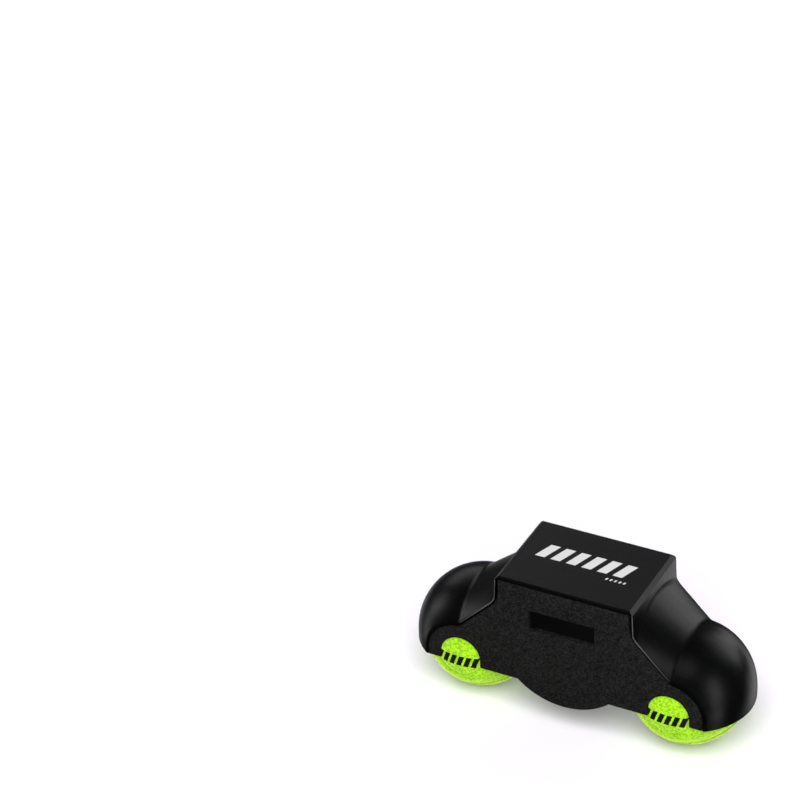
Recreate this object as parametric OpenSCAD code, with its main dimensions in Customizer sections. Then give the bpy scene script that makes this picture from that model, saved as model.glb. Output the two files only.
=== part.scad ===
// Rocker foot for an indoor bicycle trainer.
// A moulded housing slips over the end of the trainer's leg and stands on two captive tennis balls.
// X runs from ball to ball, -Y is the outer side, +Y is the side with the leg socket, +Z is up.
// The origin is on the floor, midway between the balls.

/* [Balls] */
// Diameter of a ball over its felt
ball_d = 66; // [64:0.5:68]
// Distance between the centres of the two balls
ball_pitch = 124.6; // [123:0.2:140]
// Thickness of the felt
felt_t = 3; // [2:0.1:4]
// Wall of the hollow rubber core
core_wall = 3.4; // [2.5:0.1:5]
// Width of the rubber seam between the felt panels
seam_w = 2.4; // [1.5:0.1:4]
// How far the seam lies below the felt
seam_depth = 0.6; // [0.3:0.1:1.2]
// Depth of the small flat that a loaded ball stands on
contact_flat = 0.5; // [0.3:0.1:0.8]

/* [Housing] */
// How far a ball bulges out of its windows, past the faces of the side plates
ball_bulge = 3; // [2:0.1:3.5]
// Height of the ball centres above the bottom edge of the housing
ball_sink = 4.6; // [3:0.1:7]
// Wall of the domes over the balls
dome_wall = 3.3; // [2.5:0.1:5]
// Clearance between a ball and its dome
ball_gap = 0.5; // [0.4:0.1:1.5]
// Wall of the top, the end walls and the necks
wall = 2.4; // [2:0.1:3.5]
// Chamfer round the flat top
chamfer = 1.5; // [0.5:0.1:2.5]
// How far below the top the crown of a neck meets the end wall
crown_drop = 6.4; // [6:0.1:12]
// How far below the top the side of a neck meets the end wall
side_drop = 15.7; // [13:0.1:20]
// How far past a ball centre the neck runs into the dome
crease = 1.5; // [1:0.1:4]
// Radius of the hollow curve between a neck's side and the end wall
neck_fillet = 14; // [6:0.5:20]

/* [Side plates] */
// Thickness of the side plates
plate_t = 3; // [2.5:0.1:4]
// Width of the housing rim that shows round a plate
rim = 0.6; // [0.4:0.1:1.4]
// Width of the groove between the rim and a plate
groove = 1.1; // [0.3:0.1:1.3]
// Radius of the window that a ball bulges through
window_r = 12.1; // [10:0.1:14]
// Thickness of a plate at the edge of its window
window_lip = 1; // [0.8:0.1:1.6]
// Clearance between the ball and the window
window_gap = 0.3; // [0.2:0.1:0.6]

/* [Base] */
// Width of the belly where it leaves the bottom edge
belly_w = 54.6; // [40:0.2:58]
// Depth of the belly below the bottom edge
belly_drop = 10.6; // [6:0.1:14]
// Thickness of the base cover
base_t = 2.5; // [2:0.1:4]
// How far the base cover is set in from the plates' edges
base_recess = 0.5; // [0.3:0.1:1.5]

/* [Leg socket] */
// Width of the socket in the moulding
socket_w = 72; // [66:0.5:73]
// Height of the socket in the moulding
socket_h = 30.8; // [28:0.2:34]
// Height of the socket's floor above the bottom edge
socket_floor = 28.1; // [27:0.1:32]
// Wall of the socket sleeve
sleeve_wall = 1.6; // [1.2:0.1:2.4]
// Height of the ribs between the sleeve and the housing's top
roof_gap = 2.6; // [2:0.1:5]
// Thickness of the rubber liner
liner_t = 1.2; // [0.8:0.1:2.5]
// How far the liner's rim lies below the plate's face
liner_set = 1.6; // [1:0.1:3]
// Half width of the middle tab of the liner's rim
tab_mid = 9.5; // [6:0.5:12]
// Distance from the middle to the inner edge of an outer tab
tab_in = 19; // [16:0.5:22]
// Width of an outer tab, and of the tab in each short side
tab_w = 8.4; // [6:0.2:10]

/* [Viewing slot] */
// Width of the slot in the outer plate
slot_w = 39; // [30:0.2:46]
// How far the slot's middle lies beside the middle of the plate
slot_x = -0.8; // [-2:0.1:2]
// Height of the slot
slot_h = 12.5; // [8:0.1:16]
// Height of the slot's lower edge above the bottom edge of the housing
slot_z = 36.1; // [34:0.1:40]
// Width of the notch at the slot's lower left corner
notch_w = 3.4; // [1.5:0.1:6]
// Depth of the notch below the slot
notch_h = 1.2; // [0.5:0.1:2.5]

/* [Rib frame and screws] */
// Thickness of the ribs
rib_t = 2.4; // [1.6:0.1:4]
// Distance of the outer long ribs from the middle
rib_y = 18; // [14:0.5:20]
// Thickness of the web under the socket
web_t = 2.4; // [1.6:0.1:4]
// Distance of the base screws from the middle, along X
screw_x = 14; // [11:0.5:16]
// Diameter of a base screw's shank
screw_d = 3.8; // [3:0.1:4.5]
// Length of a base screw under its head
screw_l = 16; // [12:0.5:22]

/* [Hidden] */
$fn = 96;
// Slack that lets a cut run past a face
cut = 1;
// Clearance between the sleeve and the end walls, and round a screw's head
fit_gap = 0.25;
// Clearance between the balls and the parts inside the housing
loose_gap = 0.8;
// Clearance round a screw's core, whose thread is left out
pilot_gap = 0.05;
// Gap that shows as a hairline, above the side plates and in front of the liner's tabs
hairline = 0.1;
// Depth of plate recess that is left under the chamfer of the top
top_rim = 0.5;

ball_r = ball_d / 2;
ball_x = ball_pitch / 2;
ball_z = ball_r - contact_flat;
// Depth across the faces of the two side plates
depth = ball_d - 2 * ball_bulge;
half_d = depth / 2;
plate_y = half_d - plate_t;

edge_z = ball_z - ball_sink;
floor_z = edge_z + socket_floor;
sleeve_bottom = floor_z - sleeve_wall;
sleeve_top = floor_z + socket_h + sleeve_wall;
sleeve_half = socket_w / 2 + sleeve_wall;
wall_x = sleeve_half + fit_gap + wall;
top_z = sleeve_top + roof_gap + wall;
body_h = top_z - edge_z;

dome_r = ball_r + ball_gap + dome_wall;
dome_side_r = sqrt(dome_r * dome_r - half_d * half_d);
neck_x = ball_x + crease;
neck_run = neck_x - wall_x;
// How far a neck runs on inside its dome, and inside the end wall
neck_overrun = 5;
neck_root = 2;
// Rings of a neck, points across its arch, and how much closer the rings lie near the end wall
neck_rings = 11;
arch_steps = 24;
ring_bias = 1.7;

// Heights where the neck meets the end wall and the dome, on its crown and at its sides
crown_z = top_z - crown_drop;
side_z = top_z - side_drop;
crown_end_z = ball_z + sqrt(dome_r * dome_r - crease * crease);
side_end_z = ball_z + sqrt(dome_side_r * dome_side_r - crease * crease);
crown_angle = atan((crown_z - crown_end_z) / neck_run);
side_angle = atan((side_z - side_end_z) / neck_run);
// The crown's hollow curve has this radius, or less where it would come too close to the chamfer
crown_fillet_max = 8;
crown_land = 1;
crown_fillet = min(crown_fillet_max, (crown_drop - chamfer - crown_land) / tan((90 - crown_angle) / 2));

belly_r = (belly_w * belly_w / 4 + belly_drop * belly_drop) / (2 * belly_drop);
belly_z = edge_z - belly_drop + belly_r;
base_r = belly_r - base_recess;
base_top = edge_z + base_recess + base_t;
// How far the base cover and the ribs reach past the end walls, and the drop of a rib's shoulder there
base_end = wall_x + 2.5;
rib_end = wall_x + 6;
rib_shoulder = 4;

bulge_r = window_r - window_gap;
lip_y = half_d - window_lip;
bulge_y = lip_y - window_gap;
// The core is never so large that the pressed flats would cut the felt through
felt_bridge = 0.5;
core_r = min(ball_r - felt_t, norm([bulge_r, bulge_y]) - felt_bridge);

screw_r = screw_d / 2;
// Head of a screw: overhang, height, taper at its outer edge, and radius of its hexagon socket
head_r = screw_r + 2;
head_h = 2.2;
head_taper = 0.5;
hex_r = 1.25;
boss_wall = 0.4;
boss_r = head_r + fit_gap + boss_wall;
// A screw's head lies this far inside the belly, against a pad of this thickness
head_sink = 0.9;
pad_t = 3;
seat_z = belly_z - sqrt(base_r * base_r - screw_x * screw_x) + head_sink + head_h;
pad_z = seat_z + pad_t;
belly_low_z = edge_z - belly_drop;
screw_spots = [for (sx = [-1, 1], sy = [-1, 1]) [sx * screw_x, sy * rib_y]];

// Height of a neck's outer line at x, where it leaves the end wall at corner_z and falls at an angle.
// A hollow curve of radius r joins it to the wall, and inset moves the line into the material.
function neck_height(x, corner_z, angle, r, inset) =
    let (centre_x = wall_x + r)
    let (centre_z = corner_z + r * tan((90 - angle) / 2))
    let (tangent_x = centre_x - (r + inset) * sin(angle))
    x < tangent_x
        ? centre_z - sqrt(max(0, (r + inset) * (r + inset) - (centre_x - x) * (centre_x - x)))
        : corner_z - (x - wall_x) * tan(angle) - inset / cos(angle);

// One closed ring of a neck: an arch over the full depth, closed along the bottom
function neck_ring(x, shape_x, inset, half_width, low_z) =
    let (top = neck_height(shape_x, crown_z, crown_angle, crown_fillet, inset))
    let (side = neck_height(shape_x, side_z, side_angle, neck_fillet, inset))
    let (sag = top - side)
    let (r = (sag * sag + half_d * half_d) / (2 * sag))
    concat(
        [for (i = [0 : arch_steps])
            let (y = half_width * (2 * i / arch_steps - 1))
            [x, y, top - r + sqrt(r * r - y * y)]],
        [[x, half_width, low_z], [x, -half_width, low_z]]);

// Solid of a neck as a skin over its rings, from inside the end wall to inside the dome
module neck(inset, half_width, low_z) {
    start = wall_x - inset;
    run = neck_x + neck_overrun - start;
    stations = [for (i = [0 : neck_rings]) start + run * pow(i / neck_rings, ring_bias)];
    n = arch_steps + 3;
    rings = concat(
        [neck_ring(start - neck_root, start, inset, half_width, low_z)],
        [for (x = stations) neck_ring(x, x, inset, half_width, low_z)]);
    last = len(rings) - 1;
    points = [for (ring = rings) for (p = ring) p];
    sides = [for (k = [0 : last - 1]) for (i = [0 : n - 1])
        let (j = (i + 1) % n)
        each [[k * n + i, k * n + j, (k + 1) * n + j], [k * n + i, (k + 1) * n + j, (k + 1) * n + i]]];
    start_cap = [for (i = [1 : n - 2]) [0, i + 1, i]];
    end_cap = [for (i = [1 : n - 2]) [last * n, last * n + i, last * n + i + 1]];
    polyhedron(points, concat(sides, start_cap, end_cap), convexity = 4);
}

// Outline that is the same on both sides, from the right half's points listed from the bottom up
function both_sides(points) =
    concat(points, [for (i = [len(points) - 1 : -1 : 0]) [-points[i][0], points[i][1]]]);

// Side profile of the housing in X and Z, drawn in by inset on its end walls, necks and domes
module side_profile(inset, top_inset) {
    r = neck_fillet;
    centre = [wall_x + r, side_z + r * tan((90 - side_angle) / 2)];
    tangent = centre - (r + inset) * [sin(side_angle), cos(side_angle)];
    end_z = side_end_z - inset / cos(side_angle);
    dome_r_in = dome_side_r - inset;
    difference() {
        polygon(both_sides([[neck_x, edge_z], [neck_x, end_z], tangent, centre]));
        for (sx = [-1, 1]) {
            translate([sx * centre[0], centre[1]])
                circle(r + inset);
        }
    }
    translate([inset - wall_x, edge_z])
        square([2 * (wall_x - inset), body_h - top_inset]);
    for (sx = [-1, 1]) {
        translate([sx * ball_x, ball_z])
            intersection() {
                circle(dome_r_in);
                translate([-dome_r, 0])
                    square([2 * dome_r, dome_r]);
            }
        translate([sx * ball_x - dome_r_in, edge_z])
            square([2 * dome_r_in, ball_sink]);
    }
}

// Stands a flat X and Z profile up between two values of Y
module upright(y_from, y_to) {
    translate([0, y_to, 0])
        rotate([90, 0, 0])
            linear_extrude(y_to - y_from)
                children();
}

// A dome's ball of space: round above the ball's centre and straight below it
module dome_space(r, low_z) {
    translate([ball_x, 0, ball_z])
        sphere(r);
    translate([ball_x, 0, low_z])
        cylinder(r = r, h = ball_z - low_z);
}

module side_cube(half_width, low_z, high_z) {
    reach = ball_x + dome_r + cut;
    translate([-reach, -half_width, low_z])
        cube([2 * reach, 2 * half_width, high_z - low_z]);
}

module top_block() {
    difference() {
        translate([-wall_x, -half_d, edge_z])
            cube([2 * wall_x, depth, body_h]);
        for (turn = [0, 180]) {
            rotate([0, 0, turn]) {
                translate([wall_x, 0, top_z])
                    rotate([0, 45, 0])
                        cube([chamfer * sqrt(2), depth + 2 * cut, chamfer * sqrt(2)], center = true);
                translate([0, half_d, top_z])
                    rotate([45, 0, 0])
                        cube([2 * wall_x + 2 * cut, chamfer * sqrt(2), chamfer * sqrt(2)], center = true);
            }
        }
    }
}

// Moulded housing: flat top, end walls, necks and domes, open at both sides and underneath
module shell() {
    color([0.1, 0.1, 0.11])
        difference() {
            union() {
                top_block();
                intersection() {
                    union() {
                        for (side = [0, 1]) {
                            mirror([side, 0, 0])
                                dome_space(dome_r, edge_z);
                        }
                    }
                    side_cube(half_d, edge_z, top_z);
                }
                for (side = [0, 1]) {
                    mirror([side, 0, 0])
                        neck(0, half_d, edge_z);
                }
            }
            translate([wall - wall_x, -half_d - cut, edge_z - cut])
                cube([2 * (wall_x - wall), depth + 2 * cut, body_h + cut - wall]);
            for (side = [0, 1]) {
                mirror([side, 0, 0]) {
                    dome_space(dome_r - dome_wall, edge_z - cut);
                    neck(wall, half_d + cut, edge_z - cut);
                }
            }
            for (turn = [0, 180]) {
                rotate([0, 0, turn])
                    upright(plate_y, half_d + cut)
                        recess_profile();
            }
        }
}

// Recess that a side plate sits in, run on past the open bottom
module recess_profile() {
    side_profile(rim, chamfer + top_rim);
    translate([0, -cut])
        side_profile(rim, body_h / 2);
}

module belly_profile(r, high_z) {
    intersection() {
        translate([0, belly_z])
            circle(r);
        translate([-belly_w, belly_low_z - cut])
            square([2 * belly_w, high_z - belly_low_z + cut]);
    }
}

// Window for a ball, straight below the ball's centre so that it opens at the bottom edge
module window_profile() {
    for (sx = [-1, 1]) {
        translate([sx * ball_x, ball_z])
            circle(window_r);
        translate([sx * ball_x - window_r, edge_z - cut])
            square([2 * window_r, ball_sink + cut]);
    }
}

module plate_profile() {
    difference() {
        union() {
            side_profile(rim + groove, chamfer + top_rim + hairline);
            belly_profile(belly_r, edge_z + belly_drop);
        }
        window_profile();
    }
}

// Hollow behind each window that leaves a thin lip round it
module ball_relief() {
    for (sx = [-1, 1]) {
        intersection() {
            translate([sx * ball_x, 0, ball_z])
                sphere(ball_r + window_gap);
            side_cube(lip_y, belly_low_z, top_z);
        }
    }
}

// Grained outer plate with the viewing slot
module outer_plate() {
    color([0.13, 0.13, 0.13])
        difference() {
            upright(-half_d, -plate_y)
                difference() {
                    plate_profile();
                    translate([slot_x - slot_w / 2, edge_z + slot_z])
                        square([slot_w, slot_h]);
                    translate([slot_x - slot_w / 2, edge_z + slot_z - notch_h])
                        square([notch_w, notch_h + cut]);
                }
            ball_relief();
        }
}

// Inner plate with the mouth of the leg socket
module inner_plate() {
    color([0.2, 0.2, 0.2])
        difference() {
            upright(plate_y, half_d)
                difference() {
                    plate_profile();
                    translate([-socket_w / 2, floor_z])
                        square([socket_w, socket_h]);
                }
            ball_relief();
        }
}

// Room round the balls that inner parts keep clear of
module ball_room() {
    for (sx = [-1, 1]) {
        translate([sx * ball_x, 0, ball_z])
            sphere(ball_r + loose_gap);
    }
}

module socket_box(grow, y_from, y_to) {
    translate([-socket_w / 2 - grow, y_from, floor_z - grow])
        cube([socket_w + 2 * grow, y_to - y_from, socket_h + 2 * grow]);
}

// Rectangular sleeve between the plates that takes the leg, with ribs that bear on the housing's top
module socket_sleeve() {
    color([0.16, 0.16, 0.17])
        difference() {
            union() {
                socket_box(sleeve_wall, -plate_y, plate_y);
                for (rib_x = [-1, 0, 1]) {
                    translate([rib_x * socket_w / 3 - rib_t / 2, -plate_y, sleeve_top - sleeve_wall / 2])
                        cube([rib_t, 2 * plate_y, roof_gap + sleeve_wall / 2]);
                }
            }
            socket_box(0, -plate_y - cut, plate_y + cut);
            ball_room();
        }
}

// Soft liner of the socket: its rim stands low in the mouth, with tabs up to the plate's face
module socket_liner() {
    rim_y = half_d - liner_set;
    tab_y = half_d - hairline;
    mid_z = floor_z + socket_h / 2;
    tabs = [[-tab_in - tab_w, tab_w], [-tab_mid, 2 * tab_mid], [tab_in, tab_w]];
    color([0.05, 0.05, 0.05])
        difference() {
            union() {
                socket_box(0, -plate_y, rim_y);
                intersection() {
                    socket_box(0, rim_y - cut, tab_y);
                    union() {
                        for (tab = tabs) {
                            translate([tab[0], rim_y - cut, floor_z - cut])
                                cube([tab[1], tab_y - rim_y + cut, socket_h + 2 * cut]);
                        }
                        translate([-socket_w, rim_y - cut, mid_z - tab_w / 2])
                            cube([2 * socket_w, tab_y - rim_y + cut, tab_w]);
                    }
                }
            }
            socket_box(-liner_t, -plate_y - cut, half_d + cut);
        }
}

module rib_profile() {
    intersection() {
        polygon(both_sides([[base_r - base_t, belly_low_z], [base_r, base_top], [rib_end, base_top],
            [rib_end, sleeve_bottom - rib_shoulder], [sleeve_half, sleeve_bottom]]));
        union() {
            translate([0, belly_z])
                circle(base_r - base_t);
            translate([-rib_end, base_top])
                square([2 * rib_end, body_h]);
        }
    }
}

// Frame of ribs that carries the sleeve over the balls, with bosses for the base screws
module rib_frame() {
    color([0.14, 0.14, 0.15])
        difference() {
            union() {
                for (y = [-rib_y, 0, rib_y]) {
                    upright(y - rib_t / 2, y + rib_t / 2)
                        rib_profile();
                }
                intersection() {
                    upright(-plate_y, plate_y)
                        rib_profile();
                    union() {
                        for (x = [-2, -1, 0, 1, 2] * screw_x) {
                            translate([x - rib_t / 2, -plate_y, 0])
                                cube([rib_t, 2 * plate_y, sleeve_bottom]);
                        }
                        translate([-sleeve_half, -plate_y, sleeve_bottom - web_t])
                            cube([2 * sleeve_half, 2 * plate_y, web_t]);
                    }
                }
                for (spot = screw_spots) {
                    translate([spot[0], spot[1], pad_z])
                        cylinder(r = boss_r, h = sleeve_bottom - web_t / 2 - pad_z);
                }
            }
            for (spot = screw_spots) {
                translate([spot[0], spot[1], belly_low_z])
                    cylinder(r = boss_r + fit_gap, h = pad_z - belly_low_z);
                translate([spot[0], spot[1], pad_z - cut])
                    cylinder(r = screw_r + pilot_gap, h = screw_l);
            }
            ball_room();
        }
}

// Skin under the housing, between the plates and round the balls
module base_cover() {
    color([0.12, 0.12, 0.12])
        difference() {
            union() {
                upright(-plate_y, plate_y)
                    difference() {
                        union() {
                            belly_profile(base_r, base_top);
                            translate([-base_end, edge_z + base_recess])
                                square([2 * base_end, base_t]);
                        }
                        translate([0, belly_z])
                            circle(base_r - base_t);
                    }
                intersection() {
                    for (spot = screw_spots) {
                        translate([spot[0], spot[1], belly_low_z])
                            cylinder(r = boss_r, h = pad_z - belly_low_z);
                    }
                    translate([0, 0, belly_z])
                        rotate([90, 0, 0])
                            cylinder(r = base_r, h = depth, center = true);
                }
            }
            for (sx = [-1, 1]) {
                translate([sx * ball_x, 0, edge_z - cut])
                    cylinder(r = ball_r + loose_gap, h = base_t + base_recess + 2 * cut);
            }
            for (spot = screw_spots) {
                translate([spot[0], spot[1], 0])
                    cylinder(r = head_r + fit_gap, h = seat_z);
                translate([spot[0], spot[1], 0])
                    cylinder(r = screw_r + fit_gap, h = body_h);
            }
        }
}

// Four pan-head screws that hold the base cover to the rib frame, driven from below
module base_screws() {
    color([0.55, 0.56, 0.58])
        for (spot = screw_spots) {
            translate([spot[0], spot[1], seat_z - head_h])
                difference() {
                    union() {
                        cylinder(r1 = head_r - head_taper, r2 = head_r, h = head_h);
                        cylinder(r = screw_r, h = head_h + screw_l);
                    }
                    translate([0, 0, -cut])
                        cylinder(r = hex_r, h = head_h, $fn = 6);
                }
        }
}

// Sphere with its poles on the X axis, one in each felt panel
module ball_sphere(r) {
    rotate([0, 90, 0])
        sphere(r);
}

// Outer form of a ball: round, pressed flat behind the plates' lips and where it stands
module ball_form(r, flat_z) {
    intersection() {
        ball_sphere(r);
        union() {
            cube([2 * ball_d, 2 * bulge_y, 2 * ball_d], center = true);
            rotate([90, 0, 0])
                cylinder(r = bulge_r, h = ball_d, center = true);
        }
        translate([-ball_d, -ball_d, -flat_z])
            cube([2 * ball_d, 2 * ball_d, 2 * ball_d]);
    }
}

// Half of the hollow rubber core: up is 1 for the upper half and -1 for the lower one
module core_half(up) {
    color([0.25, 0.22, 0.2])
        difference() {
            sphere(core_r);
            sphere(core_r - core_wall);
            translate([0, 0, -up * ball_r])
                cube(ball_d, center = true);
        }
}

// Waviness of the seam, from 0 for a plain ring upwards
seam_wave = 0.3;
// Where along the seam the side panel has its first tip, in degrees; its other tip is half a turn on
first_tip = -45;
function unit(v) = v / norm(v);
function seam_point(t) =
    let (x = (1 - seam_wave) * cos(t) + seam_wave * cos(3 * t))
    let (y = (1 - seam_wave) * sin(t) - seam_wave * sin(3 * t))
    let (z = 2 * sqrt(seam_wave * (1 - seam_wave)) * sin(2 * t))
    [z, (x - y) / sqrt(2), (x + y) / sqrt(2)];
// A point of the seam moved sideways, to the edge of the felt panel next to it
function panel_edge(t) =
    let (p = seam_point(t))
    let (ahead = seam_point(t + 1) - seam_point(t - 1))
    unit(p + seam_w / ball_d * unit(cross(p, ahead)));

// Pyramid from the ball's centre that cuts the side panel out of the felt.
// Its rows of points run across the panel, from one lobe's tip to the other's.
module side_panel_cutter() {
    rows = 24;
    cols = 6;
    reach = 1.3 * ball_r;
    grid = [for (i = [1 : rows - 1]) for (j = [0 : cols])
        let (t = first_tip + 180 * i / rows)
        reach * unit(panel_edge(t) * (1 - j / cols) + panel_edge(2 * first_tip - t) * j / cols)];
    points = concat([[0, 0, 0], reach * panel_edge(first_tip), reach * panel_edge(first_tip + 180)], grid);
    w = cols + 1;
    last = 3 + (rows - 2) * w;
    outer = [for (i = [0 : rows - 3]) for (j = [0 : cols - 1])
        let (k = 3 + i * w + j)
        each [[k, k + 1, k + w + 1], [k, k + w + 1, k + w]]];
    tips = [for (j = [0 : cols - 1]) each [[1, 3 + j + 1, 3 + j], [2, last + j, last + j + 1]]];
    sides = [for (i = [0 : rows - 3])
        let (k = 3 + i * w)
        each [[0, k, k + w], [0, k + w + cols, k + cols]]];
    ends = [[0, 1, 3], [0, 3 + cols, 1], [0, last, 2], [0, 2, last + cols]];
    polyhedron(points, concat(outer, tips, sides, ends), convexity = 6);
}

// The crown panel is the side panel turned over
module crown_panel_cutter() {
    rotate(180, [0, 1, 1])
        side_panel_cutter();
}

// Felt over the whole ball, which a cutter as child takes one panel out of
module felt_panel() {
    color([0.66, 0.95, 0.1])
        intersection() {
            difference() {
                ball_form(ball_r, ball_z);
                ball_sphere(core_r);
            }
            children();
        }
}

// Rubber seam that fills the gap between the two panels
module ball_seam() {
    color([0.75, 0.85, 0.5])
        difference() {
            ball_form(ball_r - seam_depth, ball_z - seam_depth);
            ball_sphere(core_r);
            side_panel_cutter();
            crown_panel_cutter();
        }
}

module at_ball(side) {
    translate([side * ball_x, 0, ball_z])
        children();
}

module left_core_upper() at_ball(-1) core_half(1);
module left_core_lower() at_ball(-1) core_half(-1);
module left_felt_side_panel() at_ball(-1) felt_panel() side_panel_cutter();
module left_felt_crown_panel() at_ball(-1) felt_panel() crown_panel_cutter();
module left_seam() at_ball(-1) ball_seam();
module right_core_upper() at_ball(1) core_half(1);
module right_core_lower() at_ball(1) core_half(-1);
module right_felt_side_panel() at_ball(1) felt_panel() side_panel_cutter();
module right_felt_crown_panel() at_ball(1) felt_panel() crown_panel_cutter();
module right_seam() at_ball(1) ball_seam();

shell();
outer_plate();
inner_plate();
socket_sleeve();
socket_liner();
rib_frame();
base_cover();
base_screws();
left_core_upper();
left_core_lower();
left_felt_side_panel();
left_felt_crown_panel();
left_seam();
right_core_upper();
right_core_lower();
right_felt_side_panel();
right_felt_crown_panel();
right_seam();
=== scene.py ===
import math

import bpy
from bpy.props import FloatProperty, FloatVectorProperty, IntProperty, PointerProperty
from mathutils import Matrix, Vector, noise


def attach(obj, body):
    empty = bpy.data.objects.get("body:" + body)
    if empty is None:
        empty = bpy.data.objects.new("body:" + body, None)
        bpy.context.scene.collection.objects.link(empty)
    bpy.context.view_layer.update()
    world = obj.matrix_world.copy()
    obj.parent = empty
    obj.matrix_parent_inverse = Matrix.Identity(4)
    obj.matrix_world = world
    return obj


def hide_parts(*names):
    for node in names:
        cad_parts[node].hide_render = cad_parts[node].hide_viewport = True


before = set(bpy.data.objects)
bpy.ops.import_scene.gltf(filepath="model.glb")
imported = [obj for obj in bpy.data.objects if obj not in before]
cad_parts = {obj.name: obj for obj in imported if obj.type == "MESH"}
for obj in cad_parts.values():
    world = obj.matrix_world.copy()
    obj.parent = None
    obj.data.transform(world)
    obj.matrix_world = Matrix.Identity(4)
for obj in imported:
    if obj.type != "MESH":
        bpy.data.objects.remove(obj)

bl_info = {
    "name": "Trainer Rocker Foot",
    "version": (1, 0, 0),
    "blender": (4, 5, 0),
    "location": "View3D > Sidebar > Rocker Foot",
    "description": "Dresses the rocker foot's packed solids with skins, felt, prints and finishes",
    "category": "Object",
}

# Lengths below are in millimetres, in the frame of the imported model, unless a comment says otherwise.
MM = 0.001

# The foot as packed, with the trims that only the looks have
HALF_DEPTH = 30.0
PLATE_Y = 27.0
EDGE_Z = 27.9
BALL_X = 62.3
BALL_Z = 32.5
BALL_R = 33.0
CORE_R = 30.0
WALL_X = 40.25
TOP_Z = 93.4
CHAMFER = 1.5
END_CHAMFER = 2.2
LEAN_TOP = 0.5
LEAN_LOW = 1.1
WALL = 2.4
DOME_R = 36.8
DOME_INSIDE_R = 33.5
CROWN_Z = 87.0
SIDE_Z = 77.7
NECK_X = 63.8
NECK_FILLET = 14.0
RIM = 0.6
DOME_RIM = 1.5
TOP_RIM = 0.5
TOP_MARGIN = 0.2
# Band of the rim that gets a painted highlight: its depth in from the plates' faces, its lowest height, and
# the heights over which it fades in
RIM_HIGHLIGHT_MARGIN = 0.3
RIM_HIGHLIGHT_LOW_Z = 55
RIM_HIGHLIGHT_FADE_Z = (56, 72)
RIM_FACE_BEVEL = 0.15
GROOVE_ROWS = (29.2, 28.5, 27.8)
EDGE_BEVEL = 0.25
RIM_EDGE_BEVEL = 0.1
ROOM_TURN_Y = 24.0
ROOM_TUCK = 0.55

# The hollow crease between a neck and its dome: share of its radius at the rim, and how it grows inwards
RIM_CREASE_SHARE = 0.45
CREASE_REACH = 9.0
CREASE_EASE = 0.6
NECK_EASE = 1.8

# The balls
BULGE_R = 11.8
BULGE_Y = 28.7
PRESS_BLEND = 1.5
SEAM_W = 2.4
SEAM_DEPTH = 0.6
SEAM_WAVE = 0.3
SEAM_STEPS = 360
SEAM_SHARES = (-1, -0.8, -0.4, 0, 0.4, 0.8, 1)
SEAM_HOLLOW = (0.55, 0.05, 0.12, 0.16, 0.12, 0.05, 0.55)
FELT_WALL = 1.0
FELT_ROLL_W = 1.4
FELT_LEAST = 0.3
NAP_LEVEL = 0.5
NAP_BROAD, NAP_BROAD_SCALE = 0.3, 0.7
NAP_FINE, NAP_FINE_SCALE = 0.2, 1.3
SKIN_GAP = 0.02

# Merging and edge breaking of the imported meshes, angles in degrees
MERGE_GAP = 0.004
SLIVER = 0.002
FLAT_ANGLE = 0.4
BEVEL_ANGLE = 40

# Rows of slanted bars that stand for the marks: lengths along the row and across it
BAR_SLANT = 0.35
TOP_BARS = {"start": -28.0, "pitch": 9.2, "count": 6, "share": 0.62, "low": -2.8, "high": 9.6}
TOP_TICKS = {"start": 17.6, "pitch": 2.6, "count": 5, "share": 0.42, "low": -7.9, "high": -6.1}
BALL_BARS = {"start": -12.8, "pitch": 4.3, "count": 6, "share": 0.68, "low": -4.9, "high": 1.8}
INK_BLEED = 0.9
BALL_MARK_Y = 26.0

# The studio, in metres. A softbox: name, azimuth in degrees, distance, height, width, tall, radiance,
# and whether the gloss shows it
FLOOR_SIZE = 12
FLOOR_GLOW = {"From Min": 0.17, "From Max": 0.6, "To Min": 0.085, "To Max": 1.0}
FLOOR_POLISH = 0.55
WORLD_LEVEL = {"plain": 0.14, "seen": 1.0, "mirrored": 0.02}
AIM = (0, 0, 0.05)
SOFTBOXES = (
    ("key_light", -70, 1.05, 1.5, 1.3, 1.1, 7.45, False),
    ("front_light", -75, 1.8, 0.36, 1.6, 0.7, 2.6, False),
    ("back_fill", 112, 1.8, 0.8, 1.3, 0.8, 1.8, False),
    ("back_right_box", 61, 1.5, 0.62, 1.1, 0.7, 1.65, True),
    ("back_right_high", 60, 1.2, 1.08, 1.1, 0.6, 0.7, True),
    ("back_right_low", 80, 1.7, 0.14, 0.6, 0.34, 1.0, True),
    ("right_strip", -22, 1.5, 0.5, 0.36, 1.0, 2.7, True),
    ("back_left_box", 136, 1.7, 0.85, 1.3, 0.75, 1.0, True),
    ("left_strip", 183, 1.6, 0.45, 0.45, 0.8, 2.1, True),
    ("front_glow", -78, 0.75, 1.45, 0.9, 0.7, 0.7, True),
)

# The camera that saw the photograph: its place and axes, with the lens in millimetres for its sensor
CAMERA_PLACE = (0.557393, -1.238363, 1.06465)
CAMERA_RIGHT = (0.888923, 0.456999, -0.031127)
CAMERA_DOWN = (0.222, -0.489266, -0.843407)
CAMERA_AHEAD = (-0.400665, 0.742813, -0.536373)
CAMERA_LENS = 137.958
CAMERA_SENSOR = 36
CAMERA_REACH = (0.05, 50)

# Where the necks meet the domes, at the crown and at the plates
dome_side_r = math.sqrt(DOME_R**2 - HALF_DEPTH**2)
crown_end_z = BALL_Z + math.sqrt(DOME_R**2 - (NECK_X - BALL_X) ** 2)
side_end_z = BALL_Z + math.sqrt(dome_side_r**2 - (NECK_X - BALL_X) ** 2)
crown_angle = math.atan((CROWN_Z - crown_end_z) / (NECK_X - WALL_X))
side_angle = math.atan((SIDE_Z - side_end_z) / (NECK_X - WALL_X))
crown_fillet = min(8.0, (TOP_Z - CROWN_Z - CHAMFER - 1.0) / math.tan((math.pi / 2 - crown_angle) / 2))


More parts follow.
